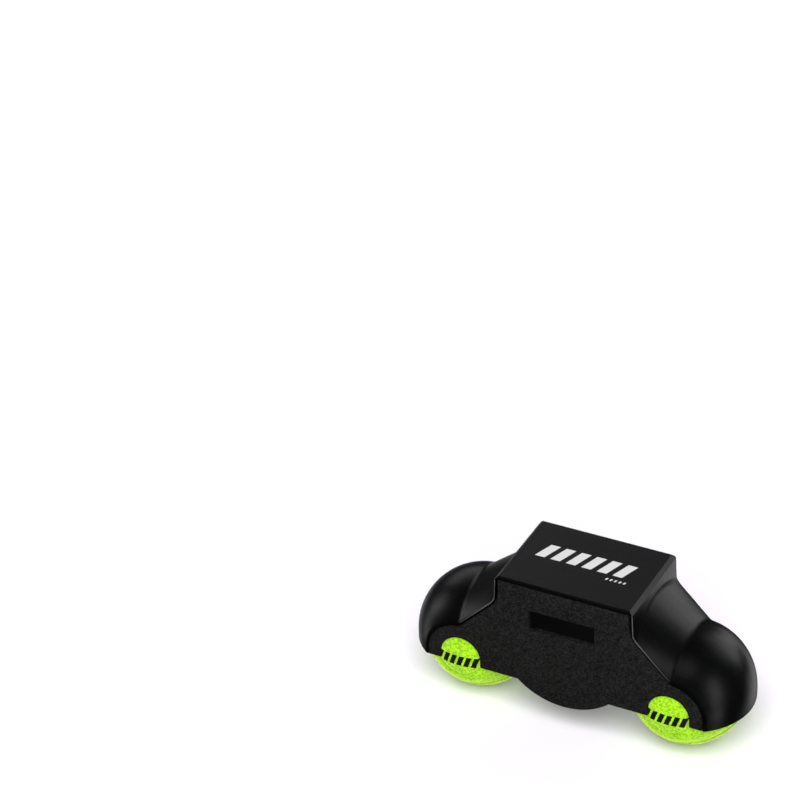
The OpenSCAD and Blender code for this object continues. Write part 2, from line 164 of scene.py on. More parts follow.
class FootSizes(bpy.types.PropertyGroup):
    crease_radius: FloatProperty(
        name="Crease radius", description="Hollow curve between a neck and its dome, in the middle",
        default=6.5 * MM, min=1 * MM, max=10 * MM, unit="LENGTH")
    rim_bevel: FloatProperty(
        name="Rim bevel", description="Small bevel on the housing's rim round the plates",
        default=0.35 * MM, min=0.05 * MM, max=0.4 * MM, unit="LENGTH")
    plate_bevel: FloatProperty(
        name="Plate bevel", description="Small bevel on the edges of the plates and the socket",
        default=0.2 * MM, min=0.05 * MM, max=0.5 * MM, unit="LENGTH")
    skin_rows: IntProperty(
        name="Skin rows", description="Rows of faces across the housing between the plates",
        default=44, min=12, max=90)
    felt_rows: IntProperty(
        name="Felt rows", description="Rows of faces along a felt panel",
        default=230, min=40, max=260)
    felt_columns: IntProperty(
        name="Felt columns", description="Columns of faces across a felt panel",
        default=136, min=20, max=150)
    felt_nap: FloatProperty(
        name="Felt nap", description="Depth of the hollows in the felt's nap",
        default=0.22 * MM, min=0.0, max=0.5 * MM, unit="LENGTH")
    felt_roll: FloatProperty(
        name="Felt edge roll", description="How far the felt's edge rolls down at the seam",
        default=0.5 * MM, min=0.0, max=1 * MM, unit="LENGTH")


def colour_property(name, description, default):
    return FloatVectorProperty(name=name, description=description, default=default,
                               min=0.0, max=1.0, size=3, subtype="COLOR")


class FootColours(bpy.types.PropertyGroup):
    housing: colour_property("Housing", "Gloss plastic of the housing", (0.0010, 0.0010, 0.0011))
    outer_plate: colour_property(
        "Outer plate", "Grained plastic of the outer plate", (0.0096, 0.0095, 0.0093))
    inner_plate: colour_property("Inner plate", "Satin plastic of the inner plate", (0.021, 0.021, 0.021))
    inner_parts: colour_property(
        "Inner parts", "Plastic of the sleeve, ribs and base", (0.008, 0.008, 0.0085))
    liner: colour_property("Liner", "Rubber of the socket's liner", (0.003, 0.003, 0.003))
    felt: colour_property("Felt", "Felt of the balls", (0.33, 0.70, 0.006))
    # The felt's pale colour serves both for its paler fibre tips and for the painted sheen at grazing angles
    felt_pale_and_sheen: colour_property("Felt tips", "Tips of the felt's fibres", (0.68, 1.0, 0.10))
    felt_deep: colour_property("Felt hollows", "Hollows of the felt", (0.17, 0.42, 0.002))
    ball_mark: colour_property("Ball mark", "Ink on the balls", (0.006, 0.007, 0.004))
    top_mark: colour_property("Top mark", "Ink on the housing's top", (0.64, 0.64, 0.64))
    seam: colour_property("Seam", "Rubber of the balls' seams", (0.42, 0.62, 0.10))
    core: colour_property("Core", "Rubber of the balls' cores", (0.045, 0.035, 0.03))
    screw: colour_property("Screws", "Plated steel of the base screws", (0.42, 0.42, 0.44))
    floor: colour_property("Floor", "Studio floor", (0.90, 0.86, 0.93))


def sizes():
    return bpy.context.scene.foot_sizes


def colours():
    return bpy.context.scene.foot_colours


# ---------------------------------------------------------------- modelling helpers

def deselect_all():
    if bpy.context.object and bpy.context.object.mode != "OBJECT":
        bpy.ops.object.mode_set(mode="OBJECT")
    bpy.ops.object.select_all(action="DESELECT")


def make_active(piece):
    deselect_all()
    piece.select_set(True)
    bpy.context.view_layer.objects.active = piece


def edit_all(*steps):
    """Runs edit-mode operators on every element of the active piece."""
    bpy.ops.object.mode_set(mode="EDIT")
    bpy.ops.mesh.select_all(action="SELECT")
    for step in steps:
        step()
    bpy.ops.object.mode_set(mode="OBJECT")


def merge_doubles():
    bpy.ops.mesh.remove_doubles(threshold=MERGE_GAP * MM)


def drop_slivers():
    bpy.ops.mesh.dissolve_degenerate(threshold=SLIVER * MM)


def outward():
    bpy.ops.mesh.normals_make_consistent(inside=False)


def lofted_grid(name, columns, rows, place):
    """Adds a grid and moves each of its points to place(column, row), given in millimetres."""
    deselect_all()
    bpy.ops.mesh.primitive_grid_add(x_subdivisions=columns, y_subdivisions=rows, size=1, location=(0, 0, 0))
    piece = bpy.context.object
    piece.name = piece.data.name = name
    for v in piece.data.vertices:
        column = round((v.co.x + 0.5) * columns)
        row = round((v.co.y + 0.5) * rows)
        v.co = Vector(place(column, row)) * MM
    return piece


def merged_copy(node, name, bevel):
    """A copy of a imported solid's mesh with its flat faces joined and its edges broken by a small bevel."""
    piece = bpy.data.objects.new(name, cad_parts[node].data.copy())
    piece.data.name = name
    piece.data.materials.clear()
    bpy.context.scene.collection.objects.link(piece)
    make_active(piece)
    edit_all(merge_doubles,
             lambda: bpy.ops.mesh.dissolve_limited(angle_limit=math.radians(FLAT_ANGLE)),
             lambda: bpy.ops.mesh.quads_convert_to_tris(quad_method="BEAUTY", ngon_method="BEAUTY"))
    if bevel:
        edge = piece.modifiers.new("Edge", "BEVEL")
        edge.width = bevel
        edge.segments = 2
        edge.limit_method = "ANGLE"
        edge.angle_limit = math.radians(BEVEL_ANGLE)
        edge.miter_outer = "MITER_ARC"
        bpy.ops.object.modifier_apply(modifier=edge.name)
    smooth(piece, 28)
    return piece


def smooth(piece, angle):
    make_active(piece)
    bpy.ops.object.shade_smooth_by_angle(angle=math.radians(angle))


def own_copy(piece, name, offset):
    """A copy of a piece with its own mesh, moved in its mesh by offset in millimetres."""
    twin = bpy.data.objects.new(name, piece.data.copy())
    twin.data.name = name
    twin.data.transform(Matrix.Translation(Vector(offset) * MM))
    bpy.context.scene.collection.objects.link(twin)
    return twin


# ---------------------------------------------------------------- material helpers

class Recipe:
    """A procedural material under construction, with short calls for its nodes."""

    def __init__(self, name):
        self.material = bpy.data.materials.new(name)
        self.material.use_nodes = True
        self.tree = self.material.node_tree
        self.shader = self.tree.nodes["Principled BSDF"]
        self.place = self.add("ShaderNodeTexCoord").outputs["Object"]

    def add(self, kind, **settings):
        made = self.tree.nodes.new(kind)
        for key, value in settings.items():
            setattr(made, key, value)
        return made

    def put(self, source, target):
        if isinstance(source, bpy.types.NodeSocket):
            self.tree.links.new(source, target)
        else:
            target.default_value = source

    def scaled(self, scale):
        mapping = self.add("ShaderNodeMapping")
        self.put(self.place, mapping.inputs["Vector"])
        mapping.inputs["Scale"].default_value = scale
        return mapping.outputs["Vector"]

    def noise(self, vector, scale, detail=2.0, rough=0.5):
        made = self.add("ShaderNodeTexNoise")
        self.put(vector, made.inputs["Vector"])
        made.inputs["Scale"].default_value = scale
        made.inputs["Detail"].default_value = detail
        made.inputs["Roughness"].default_value = rough
        return made.outputs["Fac"]

    def cells(self, vector, scale):
        made = self.add("ShaderNodeTexVoronoi")
        self.put(vector, made.inputs["Vector"])
        made.inputs["Scale"].default_value = scale
        return made.outputs["Distance"]

    def math(self, operation, a, b=0.0):
        made = self.add("ShaderNodeMath", operation=operation)
        self.put(a, made.inputs[0])
        self.put(b, made.inputs[1])
        return made.outputs[0]

    def ranged(self, value, low, high, to_low, to_high):
        """The value's stretch from low to high laid onto the one from to_low to to_high."""
        made = self.add("ShaderNodeMapRange", clamp=True)
        for socket, v in zip(made.inputs[:5], (value, low, high, to_low, to_high)):
            self.put(v, socket)
        return made.outputs["Result"]

    def mixed(self, factor, a, b):
        made = self.add("ShaderNodeMix", data_type="RGBA")
        self.put(factor, made.inputs["Factor"])
        for value, socket in ((a, made.inputs[6]), (b, made.inputs[7])):
            self.put((*value, 1.0) if isinstance(value, tuple) else value, socket)
        return made.outputs[2]

    def bump(self, height, depth, strength=1.0, below=None):
        made = self.add("ShaderNodeBump")
        self.put(height, made.inputs["Height"])
        made.inputs["Distance"].default_value = depth
        made.inputs["Strength"].default_value = strength
        if below is not None:
            self.put(below, made.inputs["Normal"])
        return made.outputs["Normal"]

    def axes(self):
        made = self.add("ShaderNodeSeparateXYZ")
        self.put(self.place, made.inputs[0])
        return made.outputs

    def between(self, value, low, high):
        above = self.math("GREATER_THAN", value, low)
        under = self.math("LESS_THAN", value, high)
        return self.math("MULTIPLY", above, under)

    def finish(self, **sockets):
        for name, value in sockets.items():
            self.put(value, self.shader.inputs[name.replace("_", " ")])
        return self.material


def tone(colour, gain=1.0):
    return tuple(min(1.0, c * gain) for c in colour)


def slanted_bars(recipe, along, up, start, pitch, count, share, low, high):
    """Mask of a row of slanted bars: along and up are sockets in metres, lengths in millimetres."""
    leaned = recipe.math("SUBTRACT", along, recipe.math("MULTIPLY", up, BAR_SLANT))
    steps = recipe.math("DIVIDE", recipe.math("SUBTRACT", leaned, start * MM), pitch * MM)
    bars = recipe.math("LESS_THAN", recipe.math("FRACT", steps), share)
    row = recipe.between(steps, 0.0, float(count))
    band = recipe.between(up, low * MM, high * MM)
    return recipe.math("MULTIPLY", recipe.math("MULTIPLY", bars, row), band)


def housing_finish():
    """Gloss black plastic with fine lines across the depth, a painted highlight on the rim by the end walls
    and necks, and a white mark on top.
    """
    c = colours()
    r = Recipe("housing_gloss")
    lines = r.noise(r.scaled((18, 1700, 18)), scale=1.0, detail=3.0, rough=0.6)
    broad = r.noise(r.scaled((6, 260, 6)), scale=1.0, detail=2.0, rough=0.5)
    cloud = r.noise(r.place, scale=60.0, detail=2.0)
    base = r.mixed(r.ranged(lines, 0.3, 0.7, 0.0, 1.0), tone(c.housing, 0.75), tone(c.housing, 1.35))
    x, y, z = r.axes()
    top = r.math("GREATER_THAN", z, (TOP_Z - TOP_MARGIN) * MM)
    base = r.mixed(top, base, tone(c.housing, 5.0))
    mark = slanted_bars(r, x, y, **TOP_BARS)
    ticks = slanted_bars(r, x, y, **TOP_TICKS)
    worn = r.ranged(r.noise(r.place, scale=900.0, detail=2.0), 0.32, 0.40, 0.85, 1.0)
    ink = r.math("MULTIPLY", r.math("MULTIPLY", r.math("MAXIMUM", mark, ticks), top), worn)
    rough = r.math("ADD", r.ranged(lines, 0.25, 0.75, 0.29, 0.37), r.ranged(cloud, 0.3, 0.7, -0.02, 0.03))
    rough = r.math("ADD", rough, r.math("MULTIPLY", top, 0.1))
    # Painted highlight: the rim's face at the plates is made paler from the necks up to just below the top,
    # fading out towards the bottom
    rim = r.math("MULTIPLY", r.math("GREATER_THAN", r.math("ABSOLUTE", y), (HALF_DEPTH - RIM_HIGHLIGHT_MARGIN) * MM),
                 r.between(z, RIM_HIGHLIGHT_LOW_Z * MM, (TOP_Z - CHAMFER - 2 * RIM_HIGHLIGHT_MARGIN) * MM))
    fade_low, fade_high = RIM_HIGHLIGHT_FADE_Z
    paler = r.math("MULTIPLY", rim, r.ranged(z, fade_low * MM, fade_high * MM, 0.3, 1.0))
    base = r.mixed(paler, base, tone(c.housing, 65.0))
    relief = r.bump(lines, 0.05 * MM, 0.8, r.bump(broad, 0.10 * MM, 0.6))
    return r.finish(Base_Color=r.mixed(ink, base, tuple(c.top_mark)), Roughness=rough, Normal=relief,
                    Specular_IOR_Level=0.35)


def grain_finish():
    """Spark-grained plastic of the outer plate."""
    c = colours()
    r = Recipe("outer_plate_grain")
    grain = r.noise(r.place, scale=1150.0, detail=2.0, rough=0.6)
    pits = r.cells(r.place, scale=1500.0)
    patch = r.noise(r.place, scale=420.0, detail=2.0)
    base = r.mixed(r.ranged(grain, 0.36, 0.64, 0.0, 1.0),
                   tone(c.outer_plate, 0.3), tone(c.outer_plate, 1.9))
    base = r.mixed(r.ranged(patch, 0.35, 0.65, 0.0, 0.35), base, tone(c.outer_plate, 0.5))
    rough = r.ranged(grain, 0.3, 0.7, 0.72, 0.52)
    relief = r.bump(grain, 0.10 * MM, 0.9, r.bump(pits, 0.10 * MM, 0.5))
    return r.finish(Base_Color=base, Roughness=rough, Normal=relief, Specular_IOR_Level=0.12)


def satin_finish():
    """Satin plastic of the inner plate, with faint drawn lines."""
    c = colours()
    r = Recipe("inner_plate_satin")
    lines = r.noise(r.scaled((40, 40, 1500)), scale=1.0, detail=3.0, rough=0.6)
    fine = r.noise(r.place, scale=3200.0, detail=2.0)
    base = r.mixed(r.ranged(lines, 0.3, 0.7, 0.0, 1.0), tone(c.inner_plate, 0.8), tone(c.inner_plate, 1.2))
    rough = r.ranged(lines, 0.25, 0.75, 0.46, 0.56)
    relief = r.bump(fine, 0.02 * MM, 0.4, r.bump(lines, 0.015 * MM, 0.5))
    return r.finish(Base_Color=base, Roughness=rough, Normal=relief, Specular_IOR_Level=0.35)


def inner_plastic_finish(name, gain):
    """Plain moulded plastic of the parts inside, with a fine mould texture."""
    c = colours()
    r = Recipe(name)
    fine = r.noise(r.place, scale=1800.0, detail=3.0)
    flow = r.noise(r.scaled((50, 16, 50)), scale=1.0, detail=3.0, rough=0.6)
    base = r.mixed(r.ranged(flow, 0.35, 0.65, 0.0, 1.0),
                   tone(c.inner_parts, 0.8 * gain), tone(c.inner_parts, 1.25 * gain))
    rough = r.ranged(fine, 0.3, 0.7, 0.48, 0.62)
    return r.finish(Base_Color=base, Roughness=rough, Normal=r.bump(fine, 0.03 * MM, 0.5),
                    Specular_IOR_Level=0.35)


def rubber_finish(name, colour, low, high):
    """Soft rubber with a fine powdery surface."""
    r = Recipe(name)
    fine = r.noise(r.place, scale=2600.0, detail=3.0)
    bloom = r.noise(r.place, scale=150.0, detail=3.0, rough=0.6)
    base = r.mixed(r.ranged(bloom, 0.35, 0.7, 0.0, 1.0), tone(colour, low), tone(colour, high))
    return r.finish(Base_Color=base, Roughness=r.ranged(fine, 0.3, 0.7, 0.66, 0.82),
                    Normal=r.bump(fine, 0.03 * MM, 0.5), Specular_IOR_Level=0.3)


def steel_finish():
    """Plated steel of the screws, turned round and slightly stained."""
    c = colours()
    r = Recipe("screw_steel")
    turned = r.noise(r.scaled((60, 60, 2600)), scale=1.0, detail=3.0)
    stain = r.noise(r.place, scale=240.0, detail=4.0, rough=0.6)
    base = r.mixed(r.ranged(stain, 0.4, 0.7, 0.0, 1.0), tuple(c.screw), tone(c.screw, 0.6))
    return r.finish(Base_Color=base, Metallic=1.0, Roughness=r.ranged(turned, 0.3, 0.7, 0.26, 0.42),
                    Normal=r.bump(turned, 0.02 * MM, 0.4))


def felt_finish(side):
    """Needled felt of one ball, mottled, with a painted sheen that makes it paler at grazing angles, and a
    generic mark of slanted bars.
    """
    c = colours()
    r = Recipe("felt_left" if side < 0 else "felt_right")
    clump = r.noise(r.place, scale=760.0, detail=2.0, rough=0.6)
    fibre = r.noise(r.place, scale=2400.0, detail=3.0, rough=0.65)
    tuft = r.cells(r.place, scale=1100.0)
    base = r.mixed(r.ranged(clump, 0.40, 0.56, 0.0, 1.0), tuple(c.felt_deep), tuple(c.felt))
    base = r.mixed(r.ranged(fibre, 0.5, 0.68, 0.0, 0.5), base, tone(c.felt_pale_and_sheen, 0.9))
    # Painted sheen: the felt is mixed towards its pale colour where the surface is seen at grazing angles,
    # more so on the raised clumps
    edge = r.add("ShaderNodeLayerWeight")
    edge.inputs["Blend"].default_value = 0.5
    tips_and_painted_sheen = r.math("MULTIPLY", r.ranged(edge.outputs["Facing"], 0.5, 0.88, 0.0, 1.0),
                  r.ranged(clump, 0.36, 0.52, 0.55, 1.0))
    base = r.mixed(tips_and_painted_sheen, base, tuple(c.felt_pale_and_sheen))
    x, y, z = r.axes()
    local_x = r.math("SUBTRACT", x, side * BALL_X * MM)
    local_z = r.math("SUBTRACT", z, BALL_Z * MM)
    turned_x = r.math("MULTIPLY", local_x, r.math("MULTIPLY", r.math("SIGN", y), -1.0))
    ragged = r.math("ADD", turned_x, r.math("MULTIPLY", r.math("SUBTRACT", fibre, 0.5), INK_BLEED * MM))
    bars = slanted_bars(r, ragged, local_z, **BALL_BARS)
    outer = r.math("GREATER_THAN", r.math("ABSOLUTE", y), BALL_MARK_Y * MM)
    soaked = r.ranged(fibre, 0.30, 0.42, 0.9, 1.0)
    ink = r.math("MULTIPLY", r.math("MULTIPLY", bars, outer), soaked)
    base = r.mixed(ink, base, tuple(c.ball_mark))
    relief = r.bump(fibre, 0.25 * MM, 0.8, r.bump(clump, 0.5 * MM, 0.7, r.bump(tuft, 0.35 * MM, 0.5)))
    sheen = r.ranged(ink, 0.0, 1.0, 0.35, 0.0)
    made = r.finish(Base_Color=base, Roughness=r.ranged(clump, 0.3, 0.7, 0.98, 0.9), Normal=relief,
                    Specular_IOR_Level=0.1, Sheen_Weight=sheen, Sheen_Roughness=0.5)
    made.node_tree.nodes["Principled BSDF"].inputs["Sheen Tint"].default_value = (0.8, 1.0, 0.3, 1.0)
    return made


# ---------------------------------------------------------------- housing

def neck_height(x, corner_z, angle, fillet, inset):
    """Height of a neck's outline, which leaves the end wall in a hollow curve and falls at an angle."""
    centre_x = WALL_X + fillet
    centre_z = corner_z + fillet * math.tan((math.pi / 2 - angle) / 2)
    if x < centre_x - (fillet + inset) * math.sin(angle):
        return centre_z - math.sqrt(max(0.0, (fillet + inset) ** 2 - (centre_x - x) ** 2))
    return corner_z - (x - WALL_X) * math.tan(angle) - inset / math.cos(angle)


def arch_height(x, y, inset):
    """Height of a neck's arched back at x and y."""
    crown = neck_height(x, CROWN_Z, crown_angle, crown_fillet, inset)
    side = neck_height(x, SIDE_Z, side_angle, NECK_FILLET, inset)
    sag = crown - side
    radius = (sag**2 + HALF_DEPTH**2) / (2 * sag)
    return crown - radius + math.sqrt(radius**2 - y**2)


def crease_curve(y, inset, dome_r, radius):
    """The hollow curve that touches neck and dome: (x on the neck, centre, first angle, last angle)."""
    low, high = NECK_X - 16, NECK_X + 3
    step = 0.01
    halvings = 40
    for _ in range(halvings):
        x = (low + high) / 2
        slope = (arch_height(x + step, y, inset) - arch_height(x - step, y, inset)) / (2 * step)
        length = math.hypot(slope, 1)
        centre = (x - radius * slope / length, arch_height(x, y, inset) + radius / length)
        if math.hypot(centre[0] - BALL_X, centre[1] - BALL_Z) > dome_r + radius:
            low = x
        else:
            high = x
    first = math.atan2(-1, slope)
    last = math.atan2(BALL_Z - centre[1], BALL_X - centre[0])
    return x, centre, first, last


# Points along each stretch of the half outline
STEPS = {"top": 10, "chamfer": 2, "wall": 5, "neck": 26, "crease": 9, "dome": 34, "skirt": 4}


def half_outline(y, inset, top, corner, dome_r, crease, edge):
    """Right half of the housing's outline at depth y, from the middle of its top to its bottom edge."""
    wall = WALL_X - inset + LEAN_TOP
    wall_low = WALL_X - inset + LEAN_LOW
    neck_top = arch_height(wall_low, y, inset)
    neck_end, centre, first, last = crease_curve(y, inset, dome_r, crease + inset)
    dome_start = last + math.pi
    line = []

    def share(name):
        return [i / STEPS[name] for i in range(STEPS[name])]

    line += [((wall - corner) * s, top) for s in share("top")]
    line += [(wall - corner + corner * s, top - corner * s) for s in share("chamfer")]
    line += [(wall + (wall_low - wall) * s, top - corner + (neck_top - top + corner) * s)
             for s in share("wall")]
    for s in share("neck"):
        x = wall_low + (neck_end - wall_low) * s**NECK_EASE
        line.append((x, arch_height(x, y, inset)))
    hollow = crease + inset
    for s in share("crease"):
        a = first + (last - first) * s
        line.append((centre[0] + hollow * math.cos(a), centre[1] + hollow * math.sin(a)))
    for s in share("dome"):
        a = dome_start * (1 - s)
        line.append((BALL_X + dome_r * math.cos(a), BALL_Z + dome_r * math.sin(a)))
    line += [(BALL_X + dome_r, BALL_Z + (EDGE_Z + edge - BALL_Z) * s) for s in share("skirt")]
    line.append((BALL_X + dome_r, EDGE_Z + edge))
    line.append((BALL_X + dome_r - (edge if inset < WALL / 2 else -edge), EDGE_Z))
    return line


def whole_outline(half):
    return [(-x, z) for x, z in reversed(half)] + half[1:]


def housing_rows():
    """The housing's closed rings as rows of (y, outer line, inner line), from the outer side on."""
    s = sizes()
    bevel = s.rim_bevel / MM
    crease = s.crease_radius / MM
    rim_crease = RIM_CREASE_SHARE * crease

    def crease_at(y):
        share = min(1.0, (HALF_DEPTH - abs(y)) / CREASE_REACH) ** CREASE_EASE
        return rim_crease + (crease - rim_crease) * share

    def outside(y, inset=0.0):
        drop = max(0.0, abs(y) - (HALF_DEPTH - CHAMFER))
        dome = math.sqrt(DOME_R**2 - y**2) - inset
        return half_outline(y, inset, TOP_Z - drop - inset, END_CHAMFER - drop,
                            dome, crease_at(y), EDGE_BEVEL)

    def rim_inside(inset):
        return half_outline(HALF_DEPTH, inset, TOP_Z - CHAMFER - TOP_RIM * inset / RIM, 0.0,
                            dome_side_r - inset * DOME_RIM / RIM, rim_crease, RIM_EDGE_BEVEL)

    def room_inside(y):
        near_plate = max(0.0, abs(y) - ROOM_TURN_Y) / (PLATE_Y - ROOM_TURN_Y)
        deep = abs(y) + (HALF_DEPTH - PLATE_Y) * near_plate
        dome = math.sqrt(DOME_INSIDE_R**2 - y**2) - ROOM_TUCK * near_plate
        top = TOP_Z - WALL - CHAMFER * near_plate
        return half_outline(deep, WALL, top, 0.0, dome, crease_at(deep), EDGE_BEVEL)

    edge_out, edge_in = outside(HALF_DEPTH, bevel), rim_inside(RIM - RIM_FACE_BEVEL)
    middle = [((a[0] + b[0]) / 2, (a[1] + b[1]) / 2) for a, b in zip(edge_out, edge_in)]
    rows = [(HALF_DEPTH, middle, middle), (HALF_DEPTH, edge_out, edge_in)]
    rows += [(y, outside(y), rim_inside(RIM)) for y in (HALF_DEPTH - bevel, *GROOVE_ROWS, PLATE_Y)]
    rows += [(PLATE_Y, outside(PLATE_Y), room_inside(PLATE_Y))]
    near = [(-y, a, b) for y, a, b in rows]
    count = s.skin_rows
    spread = [PLATE_Y * math.sin(math.pi / 2 * (2 * i / count - 1)) for i in range(1, count)]
    across = [(y, outside(y), room_inside(y)) for y in spread]
    return [(y, whole_outline(a), whole_outline(b)) for y, a, b in near + across + rows[::-1]]


class FOOT_OT_housing(bpy.types.Operator):
    """Lofts the housing's skin over its outlines and gives it the gloss finish"""
    bl_idname = "foot.housing"
    bl_label = "Housing"

    def execute(self, context):
        rows = housing_rows()
        rings = [[(x, y, z) for x, z in outer] + [(x, y, z) for x, z in reversed(inner)]
                 for y, outer, inner in rows]
        around = len(rings[0])
        skin = lofted_grid("housing_skin", around, len(rings) - 1, lambda i, k: rings[k][i % around])
        make_active(skin)
        edit_all(merge_doubles, drop_slivers, outward)
        smooth(skin, 30)
        skin.data.materials.append(housing_finish())
        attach(skin, "housing")
        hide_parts("shell")
        return {"FINISHED"}


class FOOT_OT_plates(bpy.types.Operator):
    """Breaks the edges of the two side plates and gives them their grained and satin finishes"""
    bl_idname = "foot.plates"
    bl_label = "Side plates"

    def execute(self, context):
        for node, finish in (("outer_plate", grain_finish()), ("inner_plate", satin_finish())):
            plate = merged_copy(node, node + "_face", sizes().plate_bevel)
            plate.data.materials.append(finish)
            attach(plate, "housing")
            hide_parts(node)
        return {"FINISHED"}


class FOOT_OT_socket(bpy.types.Operator):
    """Breaks the edges of the leg socket's sleeve and liner and finishes them"""
    bl_idname = "foot.socket"
    bl_label = "Leg socket"

    def execute(self, context):
        made = (("socket_sleeve", inner_plastic_finish("sleeve_plastic", 1.6), "socket_plastic"),
                ("socket_liner", rubber_finish("liner_rubber", colours().liner, 0.8, 1.3), "liner_rubber"))
        for node, finish, slot in made:
            part = merged_copy(node, node + "_part", sizes().plate_bevel)
            part.data.materials.append(finish)
            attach(part, "housing")
            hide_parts(node)
        return {"FINISHED"}


class FOOT_OT_base(bpy.types.Operator):
    """Breaks the base cover's edges, and finishes it, the rib frame and the screws underneath"""
    bl_idname = "foot.base"
    bl_label = "Base"

    def execute(self, context):
        cover = merged_copy("base_cover", "base_cover_part", sizes().plate_bevel)
        cover.data.materials.append(inner_plastic_finish("base_plastic", 1.0))
        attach(cover, "housing")
        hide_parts("base_cover")
        dress("rib_frame", inner_plastic_finish("frame_plastic", 1.1))
        dress("base_screws", steel_finish())
        return {"FINISHED"}


def dress(node, finish):
    """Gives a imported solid's own mesh a finish."""
    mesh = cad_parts[node].data
    mesh.materials.clear()
    mesh.materials.append(finish)


# ---------------------------------------------------------------- balls

def unit(v):
    return v / v.length


def seam_point(t):
    """A point of the seam on a ball of radius one, t in degrees."""
    a = math.radians(t)
    x = (1 - SEAM_WAVE) * math.cos(a) + SEAM_WAVE * math.cos(3 * a)
    y = (1 - SEAM_WAVE) * math.sin(a) - SEAM_WAVE * math.sin(3 * a)
    z = 2 * math.sqrt(SEAM_WAVE * (1 - SEAM_WAVE)) * math.sin(2 * a)
    return Vector((z, (x - y) / math.sqrt(2), (x + y) / math.sqrt(2)))


def seam_side(t, share):
    """A point beside the seam, by a share of half its width; 1 is the edge of the next panel."""
    p = seam_point(t)
    across = p.cross(seam_point(t + 1) - seam_point(t - 1))
    return unit(p + SEAM_W / (2 * BALL_R) * share * unit(across))


def soft_less(a, b, blend):
    """The smaller of two lengths, with the step between them rounded off."""
    h = max(blend - abs(a - b), 0.0) / blend
    return min(a, b) - h * h * blend / 4


def pressed_radius(d):
    """Radius of a ball along a direction: round, flat behind the plates' lips and where it stands."""
    aside = math.hypot(d.x, d.z)
    flat = BULGE_Y / max(abs(d.y), 1e-6)
    bulge = BULGE_R / max(aside, 1e-6)
    r = soft_less(BALL_R, max(flat, bulge), PRESS_BLEND)
    if d.z < 0:
        r = min(r, BALL_Z / -d.z)
    return r


def slerp(a, b, s):
    angle = a.angle(b, 0.0)
    if angle < 1e-5:
        return a.copy()
    return (a * math.sin((1 - s) * angle) + b * math.sin(s * angle)) / math.sin(angle)


def felt_panel(name, turned):
    """One felt panel as a shell from the core's surface out to the nap."""
    s = sizes()
    rows, columns = s.felt_rows, s.felt_columns
    nap, roll = s.felt_nap / MM, s.felt_roll / MM
    turn = Matrix.Rotation(math.pi, 3, Vector((0, 1, 1)))
    edges = []
    for k in range(rows + 1):
        t = 180 * k / rows - 45
        edges.append((seam_side(t, 1), seam_side(-90 - t, 1)))

    def place(i, k):
        a, b = edges[k]
        d = slerp(a, b, i / columns)
        near = min(d.angle(a, 0.0), d.angle(b, 0.0)) * BALL_R
        end = min(k, rows - k) * math.pi * BALL_R / rows
        near = min(near, end + 0.2) if min(k, rows - k) < 3 else near
        if turned:
            d = turn @ d
        r = pressed_radius(d)
        p = d * r
        low = nap * (NAP_LEVEL + NAP_BROAD * noise.noise(p * NAP_BROAD_SCALE)
                     + NAP_FINE * noise.noise(p * NAP_FINE_SCALE))
        low += roll * max(0.0, 1 - near / FELT_ROLL_W) ** 2
        return d * max(CORE_R + FELT_LEAST, r - low)

    panel = lofted_grid(name, columns, rows, place)
    make_active(panel)
    edit_all(merge_doubles, outward)
    face = panel.data.polygons[len(panel.data.polygons) // 2]
    if face.normal.dot(face.center) < 0:
        edit_all(bpy.ops.mesh.flip_normals)
    count = len(panel.data.vertices)
    wall = panel.modifiers.new("Wall", "SOLIDIFY")
    wall.thickness = FELT_WALL * MM
    wall.offset = -1
    bpy.ops.object.modifier_apply(modifier=wall.name)
    for v in panel.data.vertices[count:]:
        v.co = unit(panel.data.vertices[v.index - count].co) * (CORE_R + SKIN_GAP) * MM
    smooth(panel, 50)
    return panel


def seam_ring(name):
    """The rubber seam as a closed ring, slightly hollow between the panels."""
    top = [(s, BALL_R - SEAM_DEPTH - d) for s, d in zip(SEAM_SHARES, SEAM_HOLLOW)]
    section = top + [(s, CORE_R + SKIN_GAP) for s in (1, 0, -1)]

    def place(i, k):
        share, r = section[i % len(section)]
        return seam_side(360 * (k % SEAM_STEPS) / SEAM_STEPS, share * 0.99) * r

    ring = lofted_grid(name, len(section), SEAM_STEPS, place)
    make_active(ring)
    edit_all(merge_doubles, outward)
    smooth(ring, 40)
    return ring


class FOOT_OT_balls(bpy.types.Operator):
    """Makes the felt panels and seams of the two balls, and finishes their cores"""
    bl_idname = "foot.balls"
    bl_label = "Balls"

    def execute(self, context):
        c = colours()
        at_origin = {
            "felt_side_panel": felt_panel("felt_side_panel_start", False),
            "felt_crown_panel": felt_panel("felt_crown_panel_start", True),
            "seam": seam_ring("seam_start"),
        }
        seam_rubber = rubber_finish("seam_rubber", c.seam, 0.85, 1.1)
        core_rubber = rubber_finish("core_rubber", c.core, 0.8, 1.2)
        for side, word in ((-1, "left"), (1, "right")):
            felt = felt_finish(side)
            for part, start in at_origin.items():
                piece = own_copy(start, f"{word}_{part}_piece", (side * BALL_X, 0, BALL_Z))
                is_felt = part.startswith("felt")
                piece.data.materials.append(felt if is_felt else seam_rubber)
                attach(piece, word + "_ball")
                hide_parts(f"{word}_{part}")
            for part in ("core_upper", "core_lower"):
                dress(f"{word}_{part}", core_rubber)
        for start in at_origin.values():
            bpy.data.objects.remove(start)
        return {"FINISHED"}


# ---------------------------------------------------------------- stage

def background_level(tree, plain, seen, mirrored):
    """A level: seen by camera and glass rays, mirrored in the gloss, and plain as light on the object."""
    path = tree.nodes.new("ShaderNodeLightPath")
    level = plain
    levels = (("Is Glossy Ray", mirrored), ("Is Transmission Ray", seen), ("Is Camera Ray", seen))
    for name, value in levels:
        choice = tree.nodes.new("ShaderNodeMix")
        tree.links.new(path.outputs[name], choice.inputs[0])
        if isinstance(level, float):
            choice.inputs[2].default_value = level
        else:
            tree.links.new(level, choice.inputs[2])
        choice.inputs[3].default_value = value
        level = choice.outputs[0]
    return level


